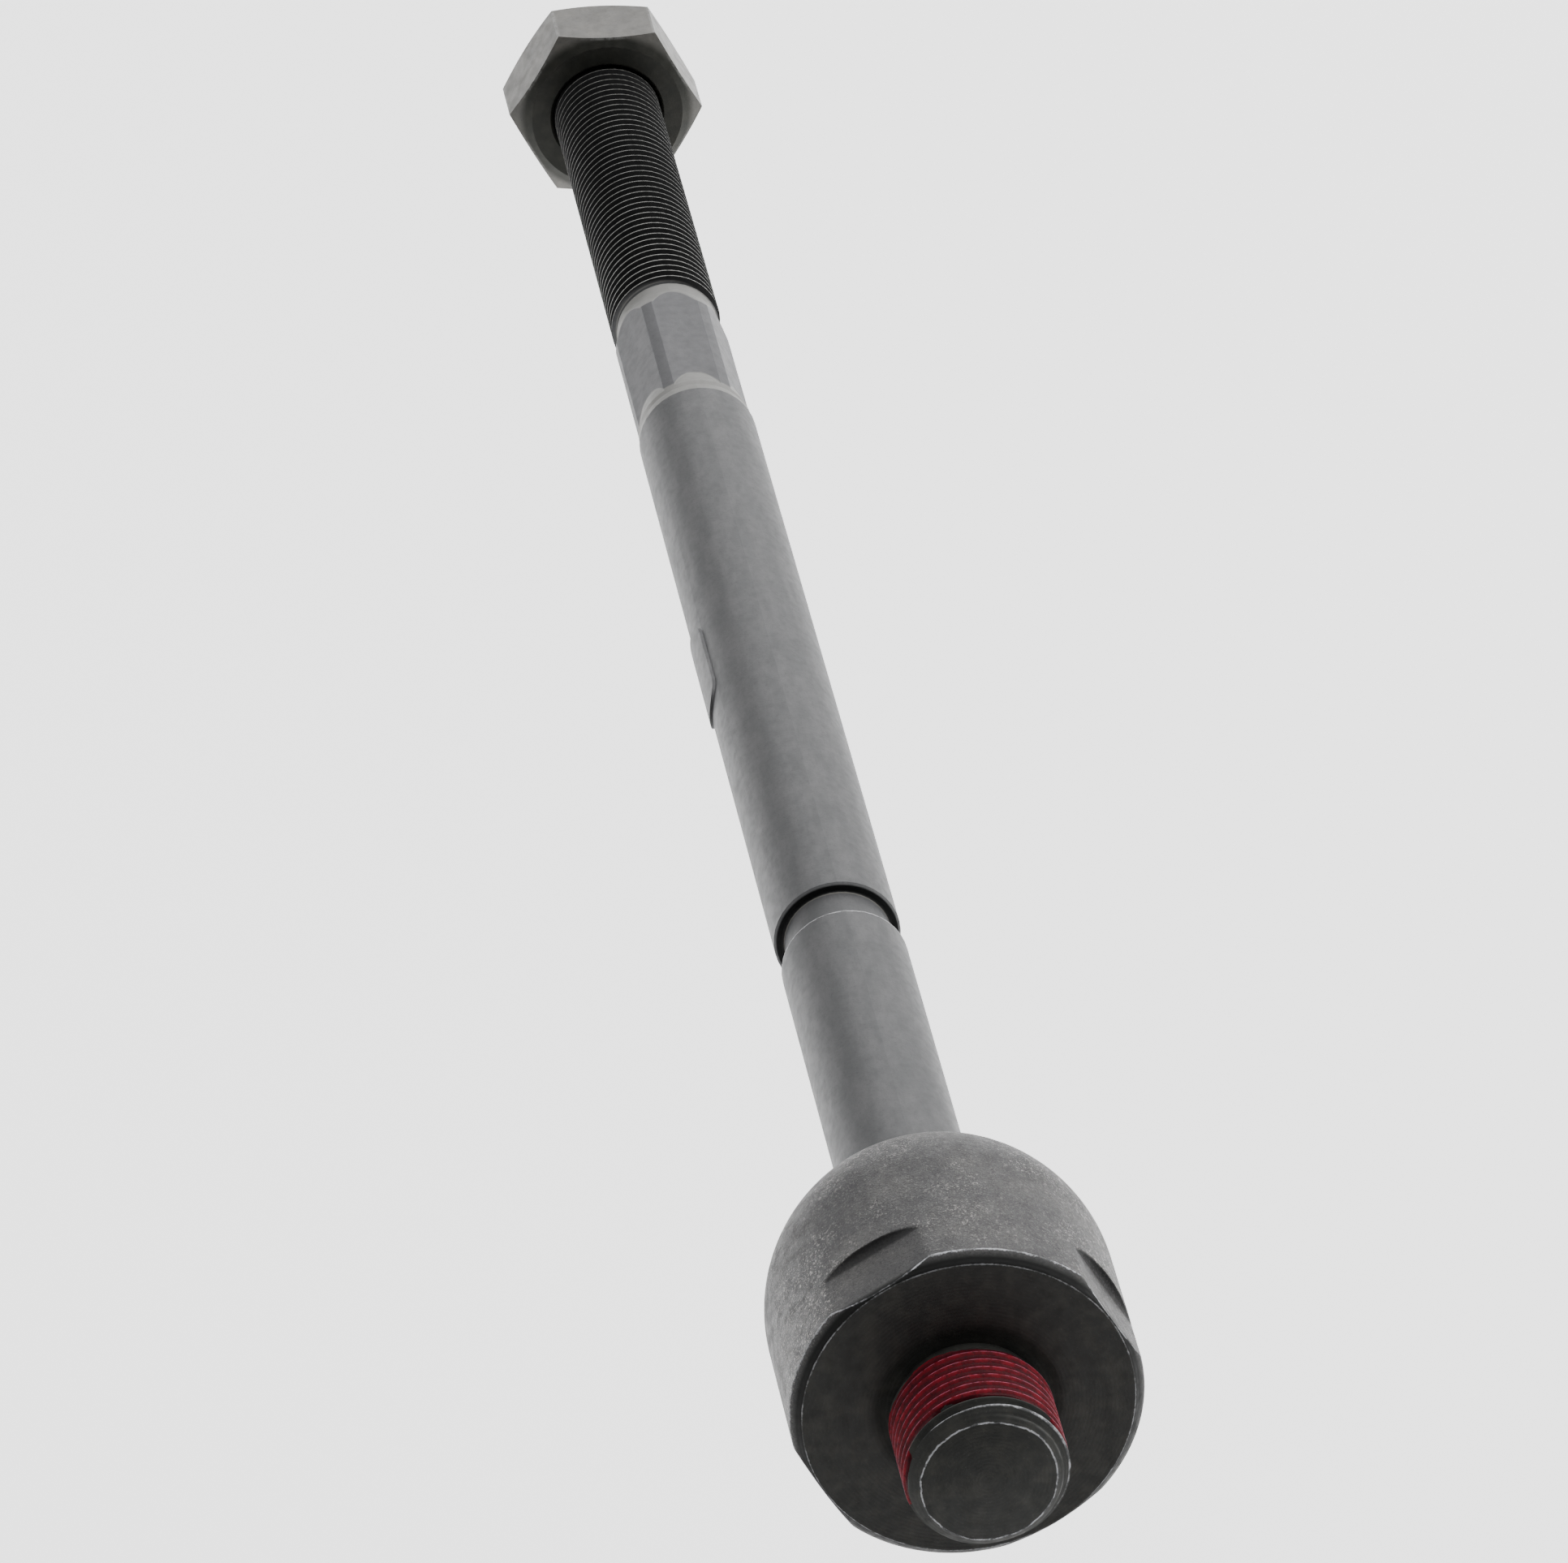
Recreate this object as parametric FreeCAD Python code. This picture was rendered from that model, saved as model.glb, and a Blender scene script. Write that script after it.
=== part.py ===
import FreeCAD, Part
import math
import os

# Axial ball joint (inner tie rod) with an M18 x 1.5 rack stud and an M14 x 1.5 adjusting thread.
# Millimetres. +X runs along the axis from the stud to the jam nut, +Z is up, and the origin is the
# centre of the flat face the socket housing seats with.

V = FreeCAD.Vector
ORIGIN = V(0, 0, 0)
X_AXIS = V(1, 0, 0)
FULL_TURN = 360

# ISO metric fine threads, both with the same pitch
PITCH = 1.5
THREAD_DEPTH = 0.92
FLANK_SLOPE = math.tan(math.radians(30))
ROOT_WIDTH = 0.30
THREAD_CLEARANCE = 0.07

# threaded stud on the housing
STUD_LENGTH = 14.4
STUD_R = 8.92
STUD_TIP_R = 7.36
STUD_CHAMFER = 1.2
STUD_RELIEF = 1.7
RECESS_R = 10.5
RECESS_DEPTH = 0.5
LOCKER_START = -10.4
LOCKER_END = -1.9
LOCKER_R = 8.62

# socket housing
HOUSING_R = 19.2
FACE_R = 18.02
EDGE_CHAMFER = 1.3
BARREL_END = 20.0
DOME_R = 19.8
MOUTH_X = 35.4
MOUTH_R = 11.3
LIP_X = 33.1
LIP_R = 12.7
CAVITY_R = 15.0
CAVITY_FLOOR = 6.2
CAVITY_TAPER_X = 27.0
FLAT_HALF = 18.2
FLAT_LENGTH = 8.4
FLAT_RUNOUT_R = 1.6
FLAT_ANGLE = 31.5

# ball and its bearing
BALL_X = 26.0
BALL_R = 12.5
SEAT_R = 12.6
FILM_IN_R = 12.52
FILM_OUT_R = 12.58
SEAT_GAP = 0.1
SPRING_THICK = 1.1
SPRING_RISE = 0.8
SPRING_IN_R = 6.0
SPRING_OUT_R = 13.6
WASHER_X = CAVITY_FLOOR + SPRING_THICK + SPRING_RISE
WASHER_THICK = 1.3
SEAT_BACK = WASHER_X + WASHER_THICK
RING_X = 31.6
RESERVOIR_R = 4.0

# rod
ROD_R = 7.35
NECK_R = 5.9
NECK_END = 38.5
FLARE_END = 42.5
GROOVE_START = 94.2
GROOVE_END = 100.5
GROOVE_R = 6.2
PAD_X = 163.5
PAD_LENGTH = 18.0
PAD_WIDTH = 6.4
PAD_HEIGHT = 0.35
HEX_START = 224.0
HEX_RAMP = 5.8
HEX_ACROSS = 13.0
HEX_CORNER_R = 7.12
HEX_END = 249.5
HEX_CORNER_ANGLE = 27.5
THREAD_NECK_R = 6.4
THREAD_NECK_X = 253.6
THREAD_START = 254.6
ROD_THREAD_X = THREAD_START - 0.4
ROD_END = 334.4
ROD_THREAD_R = 6.95
ROD_TIP_CHAMFER = 1.05

# jam nut
NUT_X = 316.1
NUT_THICK = 11.0
NUT_ACROSS = 22.0
NUT_FACE_R = 9.9
NUT_CORNER_ANGLE = 29.0
COUNTERSINK_R = 7.5
BEAD_IN_R = 7.03


def turned(steps):
    """Solid of revolution about X. A pair is a corner (x, r); four numbers are an arc through the
    first pair to the second."""
    edges = []
    here = V(steps[0][0], 0, steps[0][1])
    for step in list(steps[1:]) + [steps[0]]:
        there = V(step[-2], 0, step[-1])
        if len(step) == 4:
            edges.append(Part.Arc(here, V(step[0], 0, step[1]), there).toShape())
        else:
            edges.append(Part.makeLine(here, there))
        here = there
    face = Part.Face(Part.Wire(edges))
    solid = face.revolve(ORIGIN, X_AXIS, FULL_TURN)
    return solid


def rod_between(x_from, x_to, radius):
    """Plain cylinder along X."""
    return Part.makeCylinder(radius, x_to - x_from, V(x_from, 0, 0), X_AXIS)


def hexagon_between(x_from, x_to, across_flats, corner_angle):
    """Hexagonal bar along X. The corner angle is measured from +Z towards +Y."""
    corner_r = across_flats / 2 / math.cos(math.radians(30))
    points = []
    for k in range(7):
        turn = math.radians(corner_angle + 60 * k)
        points.append(V(x_from, corner_r * math.sin(turn), corner_r * math.cos(turn)))
    return Part.Face(Part.makePolygon(points)).extrude(V(x_to - x_from, 0, 0))


def helical_tool(x_from, lengths, r_from, r_to, w_from, w_to):
    """Right-hand helical bar along X, of trapezoid section from r_from to r_to, as a row of
    two-turn lengths that meet end to end."""
    helix = Part.makeHelix(PITCH, 2 * PITCH, r_from)
    section = Part.makePolygon([
        V(r_from, 0, -w_from / 2),
        V(r_to, 0, -w_to / 2),
        V(r_to, 0, w_to / 2),
        V(r_from, 0, w_from / 2),
        V(r_from, 0, -w_from / 2),
    ])
    sweep = Part.BRepOffsetAPI.MakePipeShell(Part.Wire(helix.Edges))
    sweep.setBiNormalMode(V(0, 0, 1))
    sweep.add(section)
    sweep.build()
    sweep.makeSolid()
    bar = sweep.shape()
    bar.rotate(ORIGIN, V(0, 1, 0), 90)
    bars = []
    for k in range(lengths):
        piece = bar.copy()
        piece.translate(V(x_from + 2 * PITCH * k, 0, 0))
        bars.append(piece)
    return Part.makeCompound(bars)


def outer_thread_tool(x_from, lengths, crest_r):
    """Cutter for the groove of a screw thread with the given crest radius."""
    root_r = crest_r - THREAD_DEPTH
    reach = THREAD_DEPTH + 0.1
    crest_width = ROOT_WIDTH + 2 * FLANK_SLOPE * reach
    return helical_tool(x_from, lengths, root_r, root_r + reach, ROOT_WIDTH, crest_width)


def inner_thread_tool(x_from, lengths, crest_r):
    """Cutter for the groove of a nut that runs on the outer thread with a small clearance."""
    root_r = crest_r - THREAD_DEPTH
    r_from = root_r + 0.02
    r_to = crest_r + THREAD_CLEARANCE
    side = 2 * THREAD_CLEARANCE / math.cos(math.radians(30))
    w_from = PITCH - ROOT_WIDTH - 2 * FLANK_SLOPE * (r_from - root_r) + side
    w_to = PITCH - ROOT_WIDTH - 2 * FLANK_SLOPE * (r_to - root_r) + side
    return helical_tool(x_from, lengths, r_from, r_to, w_from, w_to)


def cavity_wall():
    """Inner outline of the housing from the mouth back to the floor of the cavity."""
    return [
        (LIP_X, MOUTH_R),
        (LIP_X, LIP_R),
        (CAVITY_TAPER_X, CAVITY_R),
        (CAVITY_FLOOR, CAVITY_R),
        (CAVITY_FLOOR, 0),
    ]


def dome_r(x):
    """Outside radius of the dome at x."""
    return HOUSING_R - DOME_R + math.sqrt(DOME_R ** 2 - (x - BARREL_END) ** 2)


def socket_housing():
    root_r = STUD_R - THREAD_DEPTH
    relief_r = root_r - 0.05
    dome_mid = (BARREL_END + MOUTH_X) / 2
    dome_end = MOUTH_X - 0.3
    body = turned([
        (-STUD_LENGTH, 0),
        (-STUD_LENGTH, STUD_TIP_R),
        (STUD_CHAMFER - STUD_LENGTH, STUD_R),
        (-STUD_RELIEF, STUD_R),
        (-STUD_RELIEF + 0.5, relief_r),
        (RECESS_DEPTH - 0.5, relief_r),
        (RECESS_DEPTH - 0.15, relief_r + 0.15, RECESS_DEPTH, relief_r + 0.5),
        (RECESS_DEPTH, relief_r + 0.9),
        (RECESS_DEPTH / 3, RECESS_R - 0.8, 0, RECESS_R),
        (0, FACE_R),
        (EDGE_CHAMFER, HOUSING_R),
        (BARREL_END, HOUSING_R),
        (dome_mid, dome_r(dome_mid), dome_end, dome_r(dome_end)),
        (MOUTH_X - 0.05, MOUTH_R + 0.45, MOUTH_X - 0.6, MOUTH_R),
    ] + cavity_wall())
    thread_end = 0.4 - STUD_RELIEF
    body = body.cut(outer_thread_tool(thread_end - 10 * PITCH, 5, STUD_R))
    return body.cut(wrench_flats())


def wrench_flats():
    """Four cutters for the flats round the housing, each with a rounded run-out."""
    run = FLAT_LENGTH - FLAT_RUNOUT_R
    centre_h = FLAT_HALF + FLAT_RUNOUT_R
    diagonal = FLAT_RUNOUT_R * math.sqrt(0.5)
    low = V(run, 0, FLAT_HALF)
    mid = V(run + diagonal, 0, centre_h - diagonal)
    high = V(FLAT_LENGTH, 0, centre_h)
    corners = [high, V(FLAT_LENGTH, 0, centre_h + 3), V(-1, 0, centre_h + 3), V(-1, 0, FLAT_HALF), low]
    edges = [Part.Arc(low, mid, high).toShape()]
    for start, end in zip(corners[:-1], corners[1:]):
        edges.append(Part.makeLine(start, end))
    block = Part.Face(Part.Wire(edges)).extrude(V(0, 24, 0))
    block.translate(V(0, -12, 0))
    cutters = []
    for k in range(4):
        cutter = block.copy()
        cutter.rotate(ORIGIN, X_AXIS, 90 * k - FLAT_ANGLE)
        cutters.append(cutter)
    return Part.makeCompound(cutters)


def threadlocker_patch(housing):
    """Cured threadlocker lying in the thread grooves of the stud."""
    root_r = STUD_R - THREAD_DEPTH
    sleeve = rod_between(LOCKER_START, LOCKER_END, LOCKER_R)
    sleeve = sleeve.cut(rod_between(LOCKER_START - 1, LOCKER_END + 1, root_r - 0.02))
    return sleeve.cut(housing)


def disc_spring():
    floor = CAVITY_FLOOR
    return turned([
        (floor, SPRING_OUT_R),
        (floor + SPRING_RISE, SPRING_IN_R),
        (floor + SPRING_RISE + SPRING_THICK, SPRING_IN_R),
        (floor + SPRING_THICK, SPRING_OUT_R),
    ])


def thrust_washer():
    return turned([
        (WASHER_X, 0),
        (WASHER_X, CAVITY_R - SEAT_GAP - 0.3),
        (WASHER_X + 0.3, CAVITY_R - SEAT_GAP),
        (SEAT_BACK - 0.3, CAVITY_R - SEAT_GAP),
        (SEAT_BACK, CAVITY_R - SEAT_GAP - 0.3),
        (SEAT_BACK, 0),
    ])


def seat_cup(steps):
    """Bearing piece with the ball's seat taken out of it."""
    return turned(steps).cut(Part.makeSphere(SEAT_R, V(BALL_X, 0, 0)))


def rear_seat():
    outer_r = CAVITY_R - SEAT_GAP
    return seat_cup([
        (SEAT_BACK, RESERVOIR_R),
        (SEAT_BACK, outer_r - 0.6),
        (SEAT_BACK + 0.6, outer_r),
        (BALL_X - 0.1, outer_r),
        (BALL_X - 0.1, RESERVOIR_R),
    ])


def front_seat():
    outer_r = CAVITY_R - SEAT_GAP
    slope = (CAVITY_R - LIP_R) / (LIP_X - CAVITY_TAPER_X)
    end_r = outer_r - slope * (RING_X - CAVITY_TAPER_X)
    return seat_cup([
        (BALL_X + 0.1, 9.0),
        (BALL_X + 0.1, outer_r),
        (CAVITY_TAPER_X, outer_r),
        (RING_X, end_r),
        (RING_X, 9.0),
    ])


def retaining_ring():
    slope = (CAVITY_R - LIP_R) / (LIP_X - CAVITY_TAPER_X)
    far = LIP_X - 0.05
    return turned([
        (RING_X, MOUTH_R + 0.2),
        (RING_X, CAVITY_R - 0.15 - slope * (RING_X - CAVITY_TAPER_X)),
        (far, CAVITY_R - 0.15 - slope * (far - CAVITY_TAPER_X)),
        (far, MOUTH_R + 0.2),
    ])


def grease_reservoir():
    """Grease stored in the hole through the rear seat."""
    return rod_between(SEAT_BACK + 0.05, BALL_X - FILM_OUT_R - 0.05, RESERVOIR_R - 0.1)


def grease_film(angle_from, angle_to):
    """Zone of the lubricating film on the ball. Angles are polar angles from the rod side."""
    edges = []
    corner = {}
    for radius in (FILM_IN_R, FILM_OUT_R):
        points = []
        for angle in (angle_from, (angle_from + angle_to) / 2, angle_to):
            turn = math.radians(angle)
            points.append(V(BALL_X + radius * math.cos(turn), 0, radius * math.sin(turn)))
        edges.append(Part.Arc(points[0], points[1], points[2]).toShape())
        corner[radius] = points
    for end in (0, 2):
        edges.append(Part.makeLine(corner[FILM_IN_R][end], corner[FILM_OUT_R][end]))
    face = Part.Face(Part.Wire(Part.__sortEdges__(edges)))
    return face.revolve(ORIGIN, X_AXIS, FULL_TURN)


def tie_rod():
    ball_end = BALL_X + math.sqrt(BALL_R ** 2 - NECK_R ** 2)
    body = turned([
        (BALL_X - BALL_R, 0),
        (BALL_X, BALL_R, ball_end, NECK_R),
        (NECK_END, NECK_R),
        (FLARE_END, ROD_R),
        (GROOVE_START, ROD_R),
        (GROOVE_START + 0.6, GROOVE_R),
        (GROOVE_END - 0.4, GROOVE_R),
        (GROOVE_END - 0.1, GROOVE_R + 0.1, GROOVE_END, GROOVE_R + 0.4),
        (GROOVE_END, ROD_R - 0.3),
        (GROOVE_END + 0.3, ROD_R),
        (HEX_START, ROD_R),
        (HEX_START + 1.6, HEX_CORNER_R),
        (HEX_END, HEX_CORNER_R),
        (HEX_END + 2.9, HEX_ACROSS / 2),
        (HEX_END + 3.6, THREAD_NECK_R),
        (THREAD_NECK_X, THREAD_NECK_R),
        (THREAD_NECK_X, 0),
    ])
    body = body.cut(hexagon_cutter())
    return body.fuse([identification_pad(), threaded_end()])


def threaded_end():
    """Adjusting thread from the neck behind the spanner flats to the tip of the rod."""
    tip_r = ROD_THREAD_R - ROD_TIP_CHAMFER
    blank = turned([
        (THREAD_NECK_X, 0),
        (THREAD_NECK_X, THREAD_NECK_R),
        (THREAD_START, THREAD_NECK_R),
        (THREAD_START + 0.5, ROD_THREAD_R),
        (ROD_END - ROD_TIP_CHAMFER, ROD_THREAD_R),
        (ROD_END, tip_r),
        (ROD_END, 0),
    ])
    lengths = math.ceil((ROD_END - ROD_THREAD_X) / (2 * PITCH)) + 1
    return blank.cut(outer_thread_tool(ROD_THREAD_X, lengths, ROD_THREAD_R))


def hexagon_cutter():
    """Everything outside the six spanner flats, less the ramp the flats run out on."""
    far = THREAD_NECK_X
    ramp = turned([
        (HEX_START - 1, 0),
        (HEX_START - 1, ROD_R),
        (HEX_START, ROD_R),
        (HEX_START + HEX_RAMP * 0.5, ROD_R - 0.28, HEX_START + HEX_RAMP, HEX_ACROSS / 2),
        (HEX_START + HEX_RAMP + 0.8, HEX_ACROSS / 2 - 0.4),
        (HEX_START + HEX_RAMP + 0.8, 0),
    ])
    sleeve = rod_between(HEX_START, far, ROD_R + 2)
    sleeve = sleeve.cut(hexagon_between(HEX_START - 1, far + 1, HEX_ACROSS, HEX_CORNER_ANGLE))
    return sleeve.cut(ramp)


def identification_pad():
    """Raised blank pad with round ends, standing a little proud of the shank on the +Y side."""
    half = PAD_LENGTH / 2 - PAD_WIDTH / 2
    width = PAD_WIDTH / 2
    edges = [
        Part.makeLine(V(PAD_X - half, 0, width), V(PAD_X + half, 0, width)),
        Part.Arc(V(PAD_X + half, 0, width), V(PAD_X + half + width, 0, 0),
                 V(PAD_X + half, 0, -width)).toShape(),
        Part.makeLine(V(PAD_X + half, 0, -width), V(PAD_X - half, 0, -width)),
        Part.Arc(V(PAD_X - half, 0, -width), V(PAD_X - half - width, 0, 0),
                 V(PAD_X - half, 0, width)).toShape(),
    ]
    block = Part.Face(Part.Wire(edges)).extrude(V(0, ROD_R + 2, 0))
    shell = rod_between(PAD_X - PAD_LENGTH, PAD_X + PAD_LENGTH, ROD_R + PAD_HEIGHT)
    core = rod_between(PAD_X - PAD_LENGTH, PAD_X + PAD_LENGTH, ROD_R - 1)
    return block.common(shell).cut(core)


def jam_nut():
    far = NUT_X + NUT_THICK
    corner_r = NUT_ACROSS / 2 / math.cos(math.radians(30))
    slope = math.tan(math.radians(30))
    rise = (corner_r + 0.1 - NUT_FACE_R) * slope
    bore_r = ROD_THREAD_R - THREAD_DEPTH + 0.17
    sink = COUNTERSINK_R - bore_r
    blank = turned([
        (NUT_X, NUT_FACE_R),
        (NUT_X + rise, corner_r + 0.1),
        (far - rise, corner_r + 0.1),
        (far, NUT_FACE_R),
        (far, COUNTERSINK_R),
        (far - sink, bore_r),
        (NUT_X + sink, bore_r),
        (NUT_X, COUNTERSINK_R),
    ])
    blank = blank.common(hexagon_between(NUT_X - 1, far + 1, NUT_ACROSS, NUT_CORNER_ANGLE))
    ridge_x = ROD_THREAD_X + PITCH / 2
    turns = math.floor((NUT_X - PITCH - ridge_x) / PITCH)
    return blank.cut(inner_thread_tool(ridge_x + turns * PITCH, 5, ROD_THREAD_R))


def thread_oil_bead():
    """Ring of oil held in the countersink on the far side of the nut."""
    far = NUT_X + NUT_THICK
    return turned([
        (far - 0.36, BEAD_IN_R),
        (far - 0.03, BEAD_IN_R),
        (far - 0.03, BEAD_IN_R + 0.33),
        (far - 0.16, BEAD_IN_R + 0.22),
    ])


housing = socket_housing()
sub_parts = {
    "socket_housing": housing,
    "threadlocker_patch": threadlocker_patch(housing),
    "disc_spring": disc_spring(),
    "thrust_washer": thrust_washer(),
    "rear_seat": rear_seat(),
    "front_seat": front_seat(),
    "retaining_ring": retaining_ring(),
    "grease_reservoir": grease_reservoir(),
    "grease_film_rear": grease_film(122, 179),
    "grease_film_front": grease_film(52, 90),
    "tie_rod": tie_rod(),
    "thread_oil_bead": thread_oil_bead(),
    "jam_nut": jam_nut(),
}

os.makedirs("parts", exist_ok=True)
for name, shape in sub_parts.items():
    shape.exportStep("parts/" + name + ".step")
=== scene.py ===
import math

import bmesh
import bpy
import numpy as np
from mathutils import Matrix, Vector


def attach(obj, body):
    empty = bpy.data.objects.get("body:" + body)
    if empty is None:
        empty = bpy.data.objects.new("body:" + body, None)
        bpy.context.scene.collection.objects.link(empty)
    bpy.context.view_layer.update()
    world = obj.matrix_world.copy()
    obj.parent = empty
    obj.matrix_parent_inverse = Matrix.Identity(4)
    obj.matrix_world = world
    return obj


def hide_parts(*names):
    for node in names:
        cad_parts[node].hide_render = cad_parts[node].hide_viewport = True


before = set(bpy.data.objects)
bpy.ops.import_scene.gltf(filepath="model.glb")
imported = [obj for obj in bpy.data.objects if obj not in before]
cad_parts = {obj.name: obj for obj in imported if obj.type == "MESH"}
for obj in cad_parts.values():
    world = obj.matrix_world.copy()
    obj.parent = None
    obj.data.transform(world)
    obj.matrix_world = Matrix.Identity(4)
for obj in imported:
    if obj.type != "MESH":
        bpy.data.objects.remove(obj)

bpy.context.view_layer.update()

MM = 0.001
PITCH = 1.5
THREAD_STEPS = 96

# ------------------------------------------------------------------ camera
FOCAL_PX = 14000.0
IMAGE_W = 1932.0
SENSOR_MM = 36.0
CAMERA_AT = Vector((-1010.658, 158.121, 653.789)) * MM
FORWARD = Vector((0.862933, -0.117990, -0.491351))
RIGHT = Vector((-0.135470, -0.990781, 0.0))
UP = Vector((0.486821, -0.066564, 0.870962))

camera_data = bpy.data.cameras.new("camera")
camera = bpy.data.objects.new("camera", camera_data)
bpy.context.scene.collection.objects.link(camera)
camera_data.sensor_fit = "HORIZONTAL"
camera_data.sensor_width = SENSOR_MM
camera_data.lens = FOCAL_PX / IMAGE_W * SENSOR_MM
camera_data.clip_start = 0.05
camera_data.clip_end = 60.0
turn = Matrix((RIGHT, UP, -FORWARD)).transposed().to_4x4()
camera.matrix_world = Matrix.Translation(CAMERA_AT) @ turn
bpy.context.scene.camera = camera


# ------------------------------------------------------------------ shader helpers
class Shader:
    """A material whose nodes are added by short calls."""

    def __init__(self, name):
        self.material = bpy.data.materials.new(name)
        self.material.use_nodes = True
        self.tree = self.material.node_tree
        self.tree.nodes.clear()
        self.out = self.tree.nodes.new("ShaderNodeOutputMaterial")
        self.bsdf = self.tree.nodes.new("ShaderNodeBsdfPrincipled")
        self.link(self.bsdf.outputs[0], self.out.inputs["Surface"])
        where = self.tree.nodes.new("ShaderNodeTexCoord")
        self.place = where.outputs["Object"]
        split = self.tree.nodes.new("ShaderNodeSeparateXYZ")
        self.link(self.place, split.inputs[0])
        self.x, self.y, self.z = split.outputs
        self.r = self.math("SQRT", self.math("ADD", self.square(self.y), self.square(self.z)))

    def link(self, a, b):
        self.tree.links.new(a, b)

    def put(self, socket, value):
        if isinstance(value, bpy.types.NodeSocket):
            self.link(value, socket)
        else:
            socket.default_value = value

    def math(self, kind, a, b=0.0, clamp=False):
        node = self.tree.nodes.new("ShaderNodeMath")
        node.operation = kind
        node.use_clamp = clamp
        self.put(node.inputs[0], a)
        self.put(node.inputs[1], b)
        return node.outputs[0]

    def wear(self):
        """The mesh's own wear value, high along its rubbed edges; the housing material also scales it
        into painted edge highlights.
        """
        node = self.tree.nodes.new("ShaderNodeAttribute")
        node.attribute_name = "wear"
        return node.outputs["Fac"]

    def across(self, degrees):
        """Distance from the axis square to the nearest side of a hexagon, one side's normal
        being turned the given angle from +Z towards +Y."""
        best = None
        for step in range(3):
            turn = math.radians(degrees + 60 * step)
            part = self.math("ADD", self.math("MULTIPLY", self.y, math.sin(turn)),
                             self.math("MULTIPLY", self.z, math.cos(turn)))
            part = self.math("ABSOLUTE", part)
            best = part if best is None else self.math("MAXIMUM", best, part)
        return best

    def square(self, a):
        return self.math("MULTIPLY", a, a)

    def noise(self, scale, detail=4.0, rough=0.55, distortion=0.0, stretch=None):
        node = self.tree.nodes.new("ShaderNodeTexNoise")
        node.inputs["Scale"].default_value = scale
        node.inputs["Detail"].default_value = detail
        node.inputs["Roughness"].default_value = rough
        node.inputs["Distortion"].default_value = distortion
        place = self.place
        if stretch:
            mapping = self.tree.nodes.new("ShaderNodeMapping")
            mapping.inputs["Scale"].default_value = stretch
            self.link(self.place, mapping.inputs["Vector"])
            place = mapping.outputs[0]
        self.link(place, node.inputs["Vector"])
        return node.outputs["Fac"]

    def ramp(self, value, low, high, out_low=0.0, out_high=1.0, smooth=True):
        node = self.tree.nodes.new("ShaderNodeMapRange")
        node.interpolation_type = "SMOOTHSTEP" if smooth else "LINEAR"
        self.put(node.inputs["Value"], value)
        node.inputs["From Min"].default_value = low
        node.inputs["From Max"].default_value = high
        node.inputs["To Min"].default_value = out_low
        node.inputs["To Max"].default_value = out_high
        return node.outputs["Result"]

    def near(self, value, centre, width):
        """1 where value is at centre, fading to 0 at width away."""
        gap = self.math("ABSOLUTE", self.math("SUBTRACT", value, centre))
        return self.ramp(gap, 0.25 * width, width, 1.0, 0.0)

    def mix(self, amount, a, b):
        node = self.tree.nodes.new("ShaderNodeMix")
        node.data_type = "RGBA"
        self.put(node.inputs[0], amount)
        for socket, colour in ((node.inputs[6], a), (node.inputs[7], b)):
            self.put(socket, colour if isinstance(colour, bpy.types.NodeSocket) else (*colour, 1.0))
        return node.outputs[2]

    def both(self, a, b):
        return self.math("MULTIPLY", a, b)

    def either(self, a, b):
        return self.math("MAXIMUM", a, b)

    def bump(self, height, distance, strength=1.0, normal=None):
        node = self.tree.nodes.new("ShaderNodeBump")
        node.inputs["Strength"].default_value = strength
        node.inputs["Distance"].default_value = distance
        self.link(height, node.inputs["Height"])
        if normal is not None:
            self.link(normal, node.inputs["Normal"])
        return node.outputs["Normal"]

    def finish(self, colour, rough, metallic=0.0, normal=None, specular=0.5, coat=0.0):
        self.put(self.bsdf.inputs["Base Color"], colour)
        self.put(self.bsdf.inputs["Roughness"], rough)
        self.put(self.bsdf.inputs["Metallic"], metallic)
        self.bsdf.inputs["Specular IOR Level"].default_value = specular
        self.bsdf.inputs["Coat Weight"].default_value = coat
        self.bsdf.inputs["Coat Roughness"].default_value = 0.2
        if normal is not None:
            self.link(normal, self.bsdf.inputs["Normal"])
        return self.material


def srgb(*parts):
    """Linear colour from 0-255 display values."""
    out = []
    for part in parts:
        c = part / 255.0
        out.append(c / 12.92 if c <= 0.04045 else ((c + 0.055) / 1.055) ** 2.4)
    return tuple(out)


def paint(name, material):
    """Gives a CAD node one material of its own."""
    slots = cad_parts[name].data.materials
    slots.clear()
    slots.append(material)


# ------------------------------------------------------------------ mesh helpers
def new_piece(name, verts, faces, wear, body, replaces):
    """Mesh object in millimetres turned to metres, with a wear value at each vertex."""
    mesh = bpy.data.meshes.new(name)
    mesh.from_pydata([tuple(c * MM for c in v) for v in verts], [], faces)
    layer = mesh.attributes.new("wear", "FLOAT", "POINT")
    layer.data.foreach_set("value", np.array(wear, np.float32))
    clean(mesh)
    obj = bpy.data.objects.new(name, mesh)
    bpy.context.scene.collection.objects.link(obj)
    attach(obj, body)
    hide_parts(replaces)
    return obj


def clean(mesh):
    """Outward faces, smooth shading, and sharp edges where the surface really turns."""
    work = bmesh.new()
    work.from_mesh(mesh)
    bmesh.ops.remove_doubles(work, verts=work.verts, dist=2e-7)
    bmesh.ops.dissolve_degenerate(work, edges=work.edges, dist=1e-7)
    bmesh.ops.recalc_face_normals(work, faces=work.faces)
    work.to_mesh(mesh)
    work.free()
    mesh.polygons.foreach_set("use_smooth", [True] * len(mesh.polygons))
    mesh.set_sharp_from_angle(angle=math.radians(38))


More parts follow.
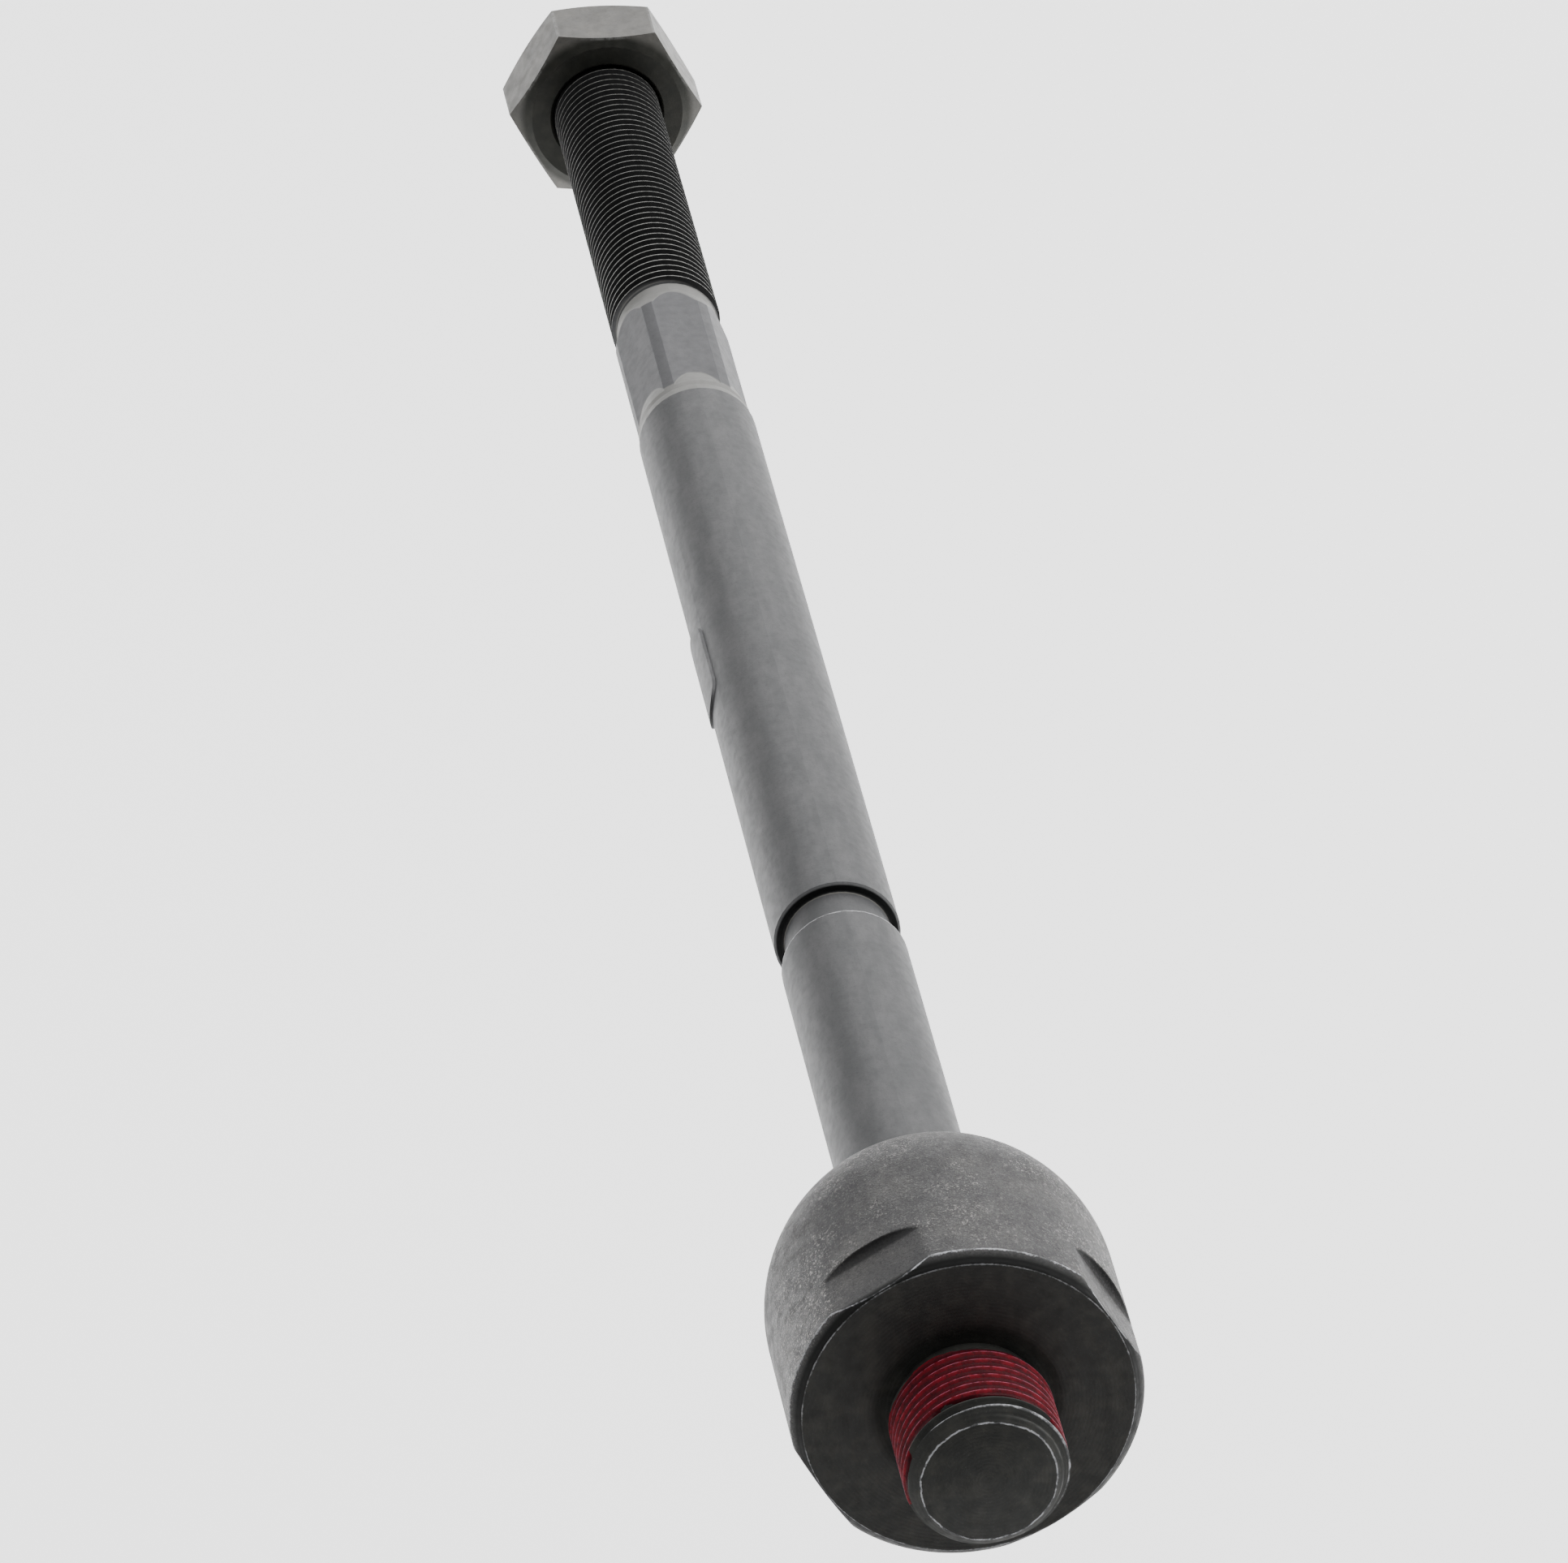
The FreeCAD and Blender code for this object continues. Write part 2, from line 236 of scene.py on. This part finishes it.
def lathe(rows, angles, first):
    """Closed skin through rows of (x, r, wear); x and r may each be an array over the angles.
    Angles run from +Z towards +Y. The first and last rows have r = 0."""
    verts, wear, faces = [], [], []
    count = len(angles)
    for x, r, w in rows:
        xs = np.broadcast_to(x, count)
        rs = np.broadcast_to(r, count)
        ws = np.broadcast_to(w, count)
        for k in range(count):
            verts.append((xs[k], rs[k] * math.sin(angles[k]), rs[k] * math.cos(angles[k])))
            wear.append(ws[k])
    for i in range(len(rows) - 1):
        for k in range(count):
            n = (k + 1) % count
            quad = (i * count + k, i * count + n, (i + 1) * count + n, (i + 1) * count + k)
            faces.append(tuple(first + q for q in quad))
    return verts, faces, wear


def screw(profile, blank, x_first, turns, steps, x_low, x_high, first):
    """Skin of a right-hand screw. profile is one pitch as (offset, radius, wear) rows; blank(x, turn)
    caps the radius; the skin is cut flat at x_low and x_high and closed there."""
    work = bmesh.new()
    layer = work.verts.layers.float.new("wear")
    grid = []
    for u in range(turns * steps + 1):
        angle = 2 * math.pi * u / steps
        row = []
        for offset, radius, edge_wear_and_highlight in profile:
            x = x_first + PITCH * u / steps + offset
            limit = blank(x, angle)
            r = min(radius, limit)
            vert = work.verts.new((x, r * math.sin(angle), -r * math.cos(angle)))
            vert[layer] = edge_wear_and_highlight if radius <= limit + 0.01 else 0.0
            row.append(vert)
        grid.append(row)
    for u in range(turns * steps):
        for j in range(len(profile)):
            last = j == len(profile) - 1
            if last and u + steps + 1 > turns * steps:
                continue
            here, there = grid[u][j], grid[u + 1][j]
            right = grid[u + steps][0] if last else grid[u][j + 1]
            right_next = grid[u + steps + 1][0] if last else grid[u + 1][j + 1]
            work.faces.new((here, there, right_next, right))
    for at, side in ((x_low, -1), (x_high, 1)):
        geom = work.verts[:] + work.edges[:] + work.faces[:]
        bmesh.ops.bisect_plane(
            work, geom=geom, plane_co=(at, 0, 0), plane_no=(side, 0, 0), clear_outer=True
        )
        rim = [e for e in work.edges if all(abs(v.co.x - at) < 1e-4 for v in e.verts)]
        bmesh.ops.contextual_create(work, geom=rim)
    work.verts.index_update()
    verts = [tuple(v.co) for v in work.verts]
    wear = [v[layer] for v in work.verts]
    faces = [tuple(first + v.index for v in f.verts) for f in work.faces]
    work.free()
    return verts, faces, wear


def soft_min(a, b, width):
    """Smaller of two radii, with a fillet of about the given width where they cross."""
    h = np.clip(0.5 + 0.5 * (b - a) / width, 0.0, 1.0)
    return b * (1 - h) + a * h - width * h * (1 - h)


def thread_profile(crest_r, root_r, crest_half, root_half, count, edge_wear_and_highlight):
    """One pitch of a thread as (offset, radius, wear), starting half a pitch before the groove."""
    rows = []
    for i in range(count):
        offset = PITCH * (i / count - 0.5)
        gap = abs(offset)
        t = (gap - root_half) / (PITCH / 2 - crest_half - root_half)
        t = min(max(t, 0.0), 1.0)
        rows.append((offset, root_r + (crest_r - root_r) * t, edge_wear_and_highlight if t > 0.999 else 0.0))
    return rows


# ------------------------------------------------------------------ socket housing and stud
STUD_END = -14.4
STUD_THREAD_X = -16.3
STUD_TIP_CHAMFER = 1.2
STUD_SHOULDER_X = -1.7
STUD_R = 8.92
STUD_ROOT_R = 8.0
TIP_R = 7.36
HOUSING_R = 19.2
FACE_R = 18.02
CHAMFER = 1.3
BARREL_END = 20.0
DOME_R = 19.8
MOUTH_X = 35.4
MOUTH_R = 11.3
FLAT_HALF = 18.2
FLAT_RUN = 7.1
FLAT_RUNOUT = 1.1
FLAT_TURN = math.radians(31.5)


def stud_blank(x, _angle):
    """Radius of the stud before threading: a chamfered tip, and a cone down to the undercut."""
    if x < STUD_END + STUD_TIP_CHAMFER:
        return TIP_R + (x - STUD_END) * (STUD_R - TIP_R) / STUD_TIP_CHAMFER
    if x < STUD_SHOULDER_X:
        return STUD_R
    return max(STUD_R - (x - STUD_SHOULDER_X) * 2.0, STUD_ROOT_R - 0.05)


def housing_radius(x, angles):
    """Outside radius of the barrel with its four flats and their rounded run-outs."""
    off = (angles - FLAT_TURN + math.pi / 4) % (math.pi / 2) - math.pi / 4
    if x <= FLAT_RUN:
        height = FLAT_HALF
    elif x < FLAT_RUN + FLAT_RUNOUT:
        drop = math.sqrt(FLAT_RUNOUT ** 2 - (x - FLAT_RUN) ** 2)
        height = FLAT_HALF + FLAT_RUNOUT - drop
    else:
        height = FLAT_HALF + 3.0
    return soft_min(np.full(len(angles), HOUSING_R), height / np.cos(off), 0.12)


def housing_rows(angles):
    """Section of the housing from the recess round the stud, out and back to the cavity floor."""
    rows = [(0.5, 0.0, 0), (0.5, 4.0, 0), (0.5, 8.8, 0)]
    rows += [(0.42, 9.2, 0), (0.22, 9.7, 0), (0.08, 10.1, 0)]
    rows += [(0.0, 10.5, 0), (0.0, 12.0, 0), (0.0, 14.0, 0), (0.0, 16.0, 0), (0.0, 17.4, 0)]
    rows += [(0.0, FACE_R - 0.22, 0), (0.0, FACE_R - 0.07, 0.7)]
    rows += [(0.03, FACE_R, 1.0), (0.09, FACE_R + 0.06, 0.7)]
    outer = housing_radius(1.0, angles)
    slope = (HOUSING_R - FACE_R) / CHAMFER
    edge_x = (outer - FACE_R) / slope
    start = np.minimum(0.16, edge_x * 0.8)
    for t in (0.0, 0.33, 0.66):
        x = start + (edge_x - 0.14 - start) * t
        x = np.maximum(x, start)
        rows.append((x, FACE_R + x * slope, 0))
    rows.append((edge_x - 0.06, outer - 0.06 * slope - 0.01, 0.75))
    rows.append((edge_x + 0.01, outer - 0.025, 1.0))
    rows.append((edge_x + 0.10, outer, 0.8))
    rows.append((edge_x + 0.32, outer, 0))
    for x in np.linspace(1.9, FLAT_RUN, 8):
        rows.append((x, housing_radius(x, angles), 0))
    for x in np.linspace(FLAT_RUN + 0.1, FLAT_RUN + FLAT_RUNOUT, 15):
        rows.append((x, housing_radius(x, angles), 0))
    for x in np.linspace(FLAT_RUN + FLAT_RUNOUT + 0.4, BARREL_END, 8):
        rows.append((x, HOUSING_R, 0))
    for x in np.linspace(BARREL_END, MOUTH_X - 0.3, 26)[1:]:
        rows.append((x, HOUSING_R - DOME_R + math.sqrt(DOME_R ** 2 - (x - BARREL_END) ** 2), 0))
    rim = rows[-1][1]
    rows += [(MOUTH_X - 0.12, rim - 0.3, 0.3), (MOUTH_X - 0.05, rim - 0.55, 0.5)]
    rows += [(MOUTH_X - 0.2, MOUTH_R + 0.12, 0.3), (MOUTH_X - 0.5, MOUTH_R, 0)]
    rows += [(33.1, MOUTH_R, 0), (33.1, 12.7, 0), (27.0, 15.0, 0), (6.2, 15.0, 0), (6.2, 0.0, 0)]
    return rows


around = np.radians(np.arange(0.0, 360.0, 1.0))
body_verts, body_faces, body_wear = lathe(housing_rows(around), around, 0)
stud_profile = thread_profile(STUD_R, STUD_ROOT_R, 0.09, 0.15, 16, 0.6)
stud_verts, stud_faces, stud_wear = screw(
    stud_profile,
    stud_blank,
    STUD_THREAD_X - PITCH,
    14,
    THREAD_STEPS,
    STUD_END,
    1.5,
    len(body_verts),
)
housing_piece = new_piece(
    "housing_forging",
    body_verts + stud_verts,
    body_faces + stud_faces,
    body_wear + stud_wear,
    "housing",
    "socket_housing",
)


# ------------------------------------------------------------------ threadlocker
def locker_blank(x, angle):
    """Ragged ends: the coat runs further towards the tip at the sides than on top."""
    side = math.sin(angle) ** 2
    ragged = 0.25 * math.sin(3 * angle + 0.6) + 0.16 * math.sin(7 * angle + 2.1)
    ragged += 0.1 * math.sin(13 * angle)
    low = -10.5 - 2.0 * side + ragged
    high = -1.75 + 0.12 * math.sin(5 * angle + 1.0)
    if low < x < high:
        return STUD_R + 0.1
    past = max(low - x, x - high)
    return STUD_R + 0.1 - 4.0 * past


locker_profile = thread_profile(STUD_R + 0.035, STUD_R - 0.34, 0.07, 0.34, 16, 1.0)
lock_verts, lock_faces, lock_wear = screw(
    locker_profile,
    lambda x, angle: max(locker_blank(x, angle), STUD_ROOT_R - 0.2),
    STUD_THREAD_X - PITCH,
    13,
    THREAD_STEPS,
    -14.0,
    -1.3,
    0,
)
locker_piece = new_piece(
    "threadlocker_coat",
    lock_verts,
    lock_faces,
    lock_wear,
    "housing",
    "threadlocker_patch",
)


# ------------------------------------------------------------------ materials
CONE_SLOPE = 0.2138


def forged_steel():
    s = Shader("forged_steel")
    x, r = s.x, s.r
    barrel = s.ramp(x, 0.5 * MM, 1.35 * MM)
    face = s.math("SUBTRACT", 1.0, barrel)
    bevel = s.both(face, s.both(s.ramp(r, 18.02 * MM, 18.12 * MM), s.ramp(x, 0.02 * MM, 0.08 * MM)))
    blotch = s.ramp(s.noise(110, 6, 0.66), 0.35, 0.68)
    grain = s.ramp(s.noise(3800, 3, 0.7), 0.35, 0.75)
    coarse = s.ramp(s.noise(1700, 6, 0.85), 0.55, 0.63)
    fine = s.ramp(s.noise(4200, 3, 0.8), 0.57, 0.65)
    region = s.ramp(s.noise(75, 4, 0.6), 0.40, 0.60, 0.25, 1.0)
    base = s.mix(blotch, srgb(84, 84, 85), srgb(104, 103, 102))
    base = s.mix(s.math("MULTIPLY", grain, 0.6), base, srgb(50, 50, 51))
    flat = s.both(s.ramp(r, 19.17 * MM, 19.05 * MM), s.ramp(x, 8.4 * MM, 8.1 * MM))
    speck = s.both(s.either(coarse, fine), region)
    speck = s.both(speck, s.ramp(flat, 0.0, 1.0, 1.0, 0.3))
    base = s.mix(speck, base, srgb(196, 192, 188))
    # Painted shade: the crescent where the flats run out into the barrel is darkened towards
    # near-black.
    run_out_painted_shade = s.both(flat, s.ramp(x, 7.0 * MM, 7.5 * MM))
    base = s.mix(s.math("MULTIPLY", run_out_painted_shade, 0.75), base, srgb(30, 30, 31))
    dark = s.mix(s.ramp(s.noise(420, 5), 0.4, 0.7), srgb(58, 59, 57), srgb(72, 72, 68))
    dark = s.mix(s.ramp(s.noise(4200, 3), 0.6, 0.72, 0.0, 0.35), dark, srgb(96, 94, 90))
    dark = s.mix(bevel, dark, srgb(17, 18, 17))
    colour = s.mix(face, base, dark)
    jag = s.math("MULTIPLY", s.math("SUBTRACT", s.noise(1900, 5, 0.75), 0.5), 1.5)
    broken = s.ramp(s.noise(300, 6, 0.75), 0.40, 0.56, 0.12, 1.0)
    outer = s.ramp(x, 0.2 * MM, 0.6 * MM)
    # Painted highlight: the light edge colour is scaled by height, up to twice as strong along the
    # top of the outer edges and a little weaker along the top of the face ring and stud.
    top = s.ramp(s.z, 8.0 * MM, 16.5 * MM)
    highlight_by_height = s.math("ADD", 0.5, s.math("MULTIPLY", top, s.ramp(outer, 0.0, 1.0, -0.15, 0.5)))
    edge_wear_and_highlight = s.ramp(s.math("ADD", s.wear(), jag), 0.62, 0.9)
    edge_wear_and_highlight = s.both(s.both(edge_wear_and_highlight, broken), highlight_by_height)
    wander = s.math("MULTIPLY", s.math("SUBTRACT", s.noise(500, 4, 0.7), 0.5), 0.5 * MM)
    tip = s.near(s.math("ADD", r, wander), 7.33 * MM, 0.13 * MM)
    tip = s.both(tip, s.ramp(x, -14.1 * MM, -14.3 * MM))
    rim = s.near(s.math("ADD", x, wander), -13.2 * MM, 0.2 * MM)
    rim = s.both(rim, s.ramp(r, 8.6 * MM, 8.8 * MM))
    rubbed = s.both(s.either(tip, rim), s.ramp(s.noise(420, 6, 0.75), 0.40, 0.56, 0.15, 1.0))
    edge_wear_and_highlight = s.either(edge_wear_and_highlight, rubbed)
    # Worn edges and painted edge highlights take the near-white colour.
    colour = s.mix(s.math("MULTIPLY", edge_wear_and_highlight, 0.95), colour, srgb(222, 223, 228))
    lathe_marks = s.tree.nodes.new("ShaderNodeTexWave")
    lathe_marks.wave_type = "RINGS"
    lathe_marks.rings_direction = "X"
    lathe_marks.inputs["Scale"].default_value = 700
    lathe_marks.inputs["Distortion"].default_value = 1.5
    s.link(s.place, lathe_marks.inputs["Vector"])
    turned = s.math("MULTIPLY", lathe_marks.outputs["Fac"], face)
    height = s.math("ADD", s.math("MULTIPLY", grain, barrel), s.math("MULTIPLY", turned, 0.25))
    scale = s.math("MULTIPLY", s.noise(600, 4), s.ramp(barrel, 0.0, 1.0, 0.4, 1.5))
    height = s.math("ADD", height, scale)
    rough = s.ramp(s.noise(700, 4), 0.3, 0.8, 0.44, 0.66)
    return s.finish(colour, rough, 0.15, s.bump(height, 0.05 * MM, 0.7), 0.35)


def rod_steel():
    s = Shader("rod_steel")
    x, r = s.x, s.r
    thread = s.ramp(x, 255.1 * MM, 255.5 * MM)
    grain = s.noise(3000, 4, 0.7)
    streak = s.noise(420, 5, 0.65, stretch=(0.3, 1.0, 1.0))
    base = s.mix(s.ramp(streak, 0.35, 0.7), srgb(98, 99, 100), srgb(110, 110, 111))
    base = s.mix(s.ramp(grain, 0.5, 0.8, 0.0, 0.45), base, srgb(72, 73, 74))
    hexes = s.both(s.ramp(x, 225.0 * MM, 226.5 * MM), s.ramp(x, 254.6 * MM, 253.8 * MM))
    base = s.mix(s.math("MULTIPLY", hexes, 0.5), base, srgb(104, 104, 107))
    land = s.both(hexes, s.near(r, 7.12 * MM, 0.07 * MM))
    base = s.mix(s.math("MULTIPLY", land, 0.15), base, srgb(84, 85, 88))
    # The ramps at both ends of the hex and the ring where the front ramp starts are painted lighter:
    # partly a lighter tone of their own, partly a painted highlight from the light above.
    along = s.math("MULTIPLY", s.math("SUBTRACT", x, 224 * MM), 1 / (5.8 * MM), True)
    along = s.math("POWER", along, 1.6)
    run_r = s.math("SUBTRACT", 7.35 * MM, s.math("MULTIPLY", along, 0.85 * MM))
    off_run = s.math("ABSOLUTE", s.math("SUBTRACT", r, run_r))
    run_in_tone_and_highlight = s.both(s.ramp(off_run, 0.09 * MM, 0.04 * MM),
                    s.both(s.ramp(x, 223.9 * MM, 224.2 * MM), s.ramp(x, 230.2 * MM, 229.6 * MM)))
    ring_tone_and_highlight = s.both(s.ramp(x, 223.95 * MM, 224.15 * MM), s.ramp(x, 226.65 * MM, 226.35 * MM))
    run_in_tone_and_highlight = s.either(run_in_tone_and_highlight, ring_tone_and_highlight)
    down_cone = s.math("MULTIPLY", s.math("SUBTRACT", x, 249.5 * MM), CONE_SLOPE)
    cone_r = s.math("SUBTRACT", 7.12 * MM, down_cone)
    off_cone = s.math("ABSOLUTE", s.math("SUBTRACT", r, s.math("MAXIMUM", cone_r, 6.4 * MM)))
    cone_tone_and_highlight = s.both(s.ramp(off_cone, 0.1 * MM, 0.05 * MM), s.ramp(x, 249.3 * MM, 249.8 * MM))
    base = s.mix(s.math("MULTIPLY", s.either(run_in_tone_and_highlight, cone_tone_and_highlight), 0.7), base, srgb(152, 151, 147))
    black = s.mix(s.ramp(s.noise(1500, 3), 0.4, 0.7), srgb(12, 13, 14), srgb(20, 20, 20))
    crest = s.ramp(r, 6.915 * MM, 6.945 * MM)
    rubbed = s.ramp(s.noise(1800, 4), 0.3, 0.55, 0.45, 0.95)
    rubbed = s.both(rubbed, s.ramp(x, 256.0 * MM, 290.0 * MM, 1.0, 0.5))
    screw_look = s.mix(s.both(crest, rubbed), black, srgb(178, 178, 174))
    colour = s.mix(thread, base, screw_look)
    # Painted shade: the groove's far wall is painted near-black.
    far_wall_painted_shade = s.both(s.near(x, 100.55 * MM, 0.45 * MM), s.ramp(r, 7.2 * MM, 7.0 * MM))
    colour = s.mix(far_wall_painted_shade, colour, srgb(14, 16, 16))
    # Painted highlight: a thin light line along the foot of the groove's far wall.
    foot_highlight = s.both(s.near(x, 100.25 * MM, 0.12 * MM), s.ramp(r, 6.7 * MM, 6.5 * MM))
    colour = s.mix(s.math("MULTIPLY", foot_highlight, 0.6), colour, srgb(150, 148, 140))
    # A broken light line is painted along the groove's near edge.
    wander = s.math("MULTIPLY", s.math("SUBTRACT", s.noise(700, 4, 0.7), 0.5), 0.7 * MM)
    near_edge_line = s.near(s.math("ADD", x, wander), 94.15 * MM, 0.14 * MM)
    broken = s.ramp(s.noise(500, 4, 0.7), 0.36, 0.5, 0.3, 1.0)
    colour = s.mix(s.both(near_edge_line, broken), colour, srgb(196, 196, 198))
    height = s.math("ADD", grain, s.math("MULTIPLY", streak, 0.6))
    rough = s.ramp(s.noise(900, 4), 0.3, 0.8, 0.46, 0.6)
    metal = s.ramp(thread, 0.0, 1.0, 0.3, 0.1)
    return s.finish(colour, rough, metal, s.bump(height, 0.02 * MM, 0.7), 0.4)


def nut_steel():
    s = Shader("nut_steel")
    x, r = s.x, s.r
    front = s.ramp(x, 317.2 * MM, 316.5 * MM)
    fine = s.noise(2800, 4, 0.75)
    base = s.mix(s.ramp(s.noise(260, 6, 0.7), 0.3, 0.75), srgb(104, 103, 100), srgb(120, 118, 113))
    base = s.mix(s.ramp(fine, 0.5, 0.8, 0.0, 0.5), base, srgb(66, 65, 63))
    dark = s.mix(s.ramp(s.noise(500, 5), 0.35, 0.7), srgb(50, 51, 47), srgb(60, 60, 55))
    colour = s.mix(front, base, dark)
    side = s.across(-1.0)
    low = s.both(front, s.ramp(r, 9.9 * MM, 10.2 * MM))
    low = s.both(s.ramp(side, 10.6 * MM, 10.9 * MM), low)
    corner = s.ramp(r, 12.5 * MM, 12.66 * MM)
    rubbed = s.ramp(s.noise(900, 5, 0.7), 0.35, 0.6, 0.1, 0.6)
    colour = s.mix(s.both(s.either(low, corner), rubbed), colour, srgb(158, 158, 156))
    inside = s.ramp(r, 7.45 * MM, 7.0 * MM)
    colour = s.mix(inside, colour, srgb(12, 12, 12))
    rough = s.ramp(s.noise(800, 4), 0.3, 0.8, 0.36, 0.52)
    return s.finish(colour, rough, 0.4, s.bump(fine, 0.02 * MM, 0.7), 0.45)


def threadlocker():
    s = Shader("threadlocker")
    fine = s.noise(4200, 4, 0.75)
    patch = s.noise(700, 5, 0.6)
    base = s.mix(s.ramp(patch, 0.35, 0.7), srgb(98, 0, 20), srgb(150, 4, 34))
    base = s.mix(s.ramp(fine, 0.58, 0.8, 0.0, 0.8), base, srgb(150, 60, 76))
    base = s.mix(s.ramp(s.noise(2600, 4, 0.75), 0.5, 0.68, 0.0, 0.7), base, srgb(54, 4, 18))
    crest = s.both(s.ramp(s.wear(), 0.3, 0.9), s.ramp(s.noise(1600, 4), 0.35, 0.55))
    trough = s.ramp(s.r, 8.78 * MM, 8.60 * MM)
    base = s.mix(s.math("MULTIPLY", trough, 0.75), base, srgb(52, 2, 14))
    base = s.mix(s.math("MULTIPLY", crest, 0.85), base, srgb(206, 122, 150))
    return s.finish(base, s.ramp(fine, 0.3, 0.8, 0.45, 0.75), 0.0, s.bump(fine, 0.05 * MM, 0.9), 0.25)


def plain(name, dark, light, rough_low, rough_high, metallic, scale):
    """Grained finish in two tones for the pieces inside the joint."""
    s = Shader(name)
    grain = s.noise(scale, 5, 0.65)
    colour = s.mix(s.ramp(grain, 0.3, 0.7), dark, light)
    rough = s.ramp(s.noise(scale * 0.4, 3), 0.3, 0.75, rough_low, rough_high)
    return s.finish(colour, rough, metallic, s.bump(grain, 0.015 * MM, 0.6))


acetal = plain("acetal", srgb(214, 211, 200), srgb(236, 234, 226), 0.3, 0.5, 0.0, 900)
grease = plain("grease", srgb(132, 96, 40), srgb(176, 134, 60), 0.08, 0.22, 0.0, 400)
spring_steel = plain("spring_steel", srgb(92, 94, 100), srgb(136, 138, 144), 0.25, 0.45, 0.9, 1200)
plain_steel = plain("plain_steel", srgb(140, 142, 146), srgb(176, 178, 182), 0.22, 0.4, 0.95, 1500)
oil = plain("thread_oil", srgb(110, 78, 26), srgb(150, 112, 46), 0.05, 0.15, 0.0, 500)

housing_piece.data.materials.append(forged_steel())
locker_piece.data.materials.append(threadlocker())
paint("tie_rod", rod_steel())
paint("jam_nut", nut_steel())
for node, material in (
    ("rear_seat", acetal),
    ("front_seat", acetal),
    ("grease_reservoir", grease),
    ("grease_film_rear", grease),
    ("grease_film_front", grease),
    ("disc_spring", spring_steel),
    ("thrust_washer", plain_steel),
    ("retaining_ring", plain_steel),
    ("thread_oil_bead", oil),
):
    paint(node, material)


# ------------------------------------------------------------------ floor and light
FLOOR_Z = -0.30
FLOOR_HALF = 12.0
FLOOR_GLOW = 1.8
GLOW_FROM_X = 0.02
GLOW_TO_X = 0.38
SKY_DARK = 0.03
SKY_BRIGHT = 0.32
LIGHT_AIM = (0.15, 0, 0)
floor_mesh = bpy.data.meshes.new("floor")
corners = ((-1, -1), (1, -1), (1, 1), (-1, 1))
floor_mesh.from_pydata(
    [(across * FLOOR_HALF, deep * FLOOR_HALF, FLOOR_Z) for across, deep in corners],
    [],
    [(0, 1, 2, 3)],
)
floor = bpy.data.objects.new("floor", floor_mesh)
bpy.context.scene.collection.objects.link(floor)
floor_shader = Shader("floor")
floor_mesh.materials.append(floor_shader.finish((0.93, 0.93, 0.93, 1.0), 0.9, 0.0, None, 0.1))
# Painted light: the floor glows, its emission rising from none at GLOW_FROM_X to full at GLOW_TO_X
# and beyond, so the floor under and behind the object is brighter and lights it from below.
floor_shader.bsdf.inputs["Emission Color"].default_value = (1.0, 1.0, 1.0, 1.0)
glow = floor_shader.ramp(floor_shader.x, GLOW_FROM_X, GLOW_TO_X, 0.0, FLOOR_GLOW)
floor_shader.link(glow, floor_shader.bsdf.inputs["Emission Strength"])

world = bpy.data.worlds.new("world")
world.use_nodes = True
sky = world.node_tree
toward = sky.nodes.new("ShaderNodeTexCoord")
split_sky = sky.nodes.new("ShaderNodeSeparateXYZ")
sky.links.new(toward.outputs["Generated"], split_sky.inputs[0])
fall = sky.nodes.new("ShaderNodeMapRange")
fall.interpolation_type = "SMOOTHSTEP"
fall.inputs["From Min"].default_value = -0.9
fall.inputs["From Max"].default_value = 0.1
fall.inputs["To Min"].default_value = SKY_DARK
fall.inputs["To Max"].default_value = SKY_BRIGHT
sky.links.new(split_sky.outputs[0], fall.inputs["Value"])
sky.links.new(fall.outputs["Result"], sky.nodes["Background"].inputs["Strength"])
sky.nodes["Background"].inputs["Color"].default_value = (1.0, 1.0, 1.0, 1.0)
bpy.context.scene.world = world


def softbox(name, at, toward, size, watts):
    """Square area light at a point, facing another point."""
    data = bpy.data.lights.new(name, "AREA")
    data.shape = "SQUARE"
    data.size = size
    data.energy = watts
    light = bpy.data.objects.new(name, data)
    bpy.context.scene.collection.objects.link(light)
    light.location = at
    light.rotation_euler = (Vector(toward) - Vector(at)).to_track_quat("-Z", "Y").to_euler()


softbox("light_top", (0.15, -0.25, 1.6), LIGHT_AIM, 1.6, 17)
softbox("light_left", (0.2, 1.5, 0.7), LIGHT_AIM, 1.2, 3)
softbox("light_right", (0.25, -1.5, 0.7), LIGHT_AIM, 1.3, 14)
softbox("light_back", (1.7, -0.35, 0.72), LIGHT_AIM, 1.7, 15)

bpy.context.view_layer.update()
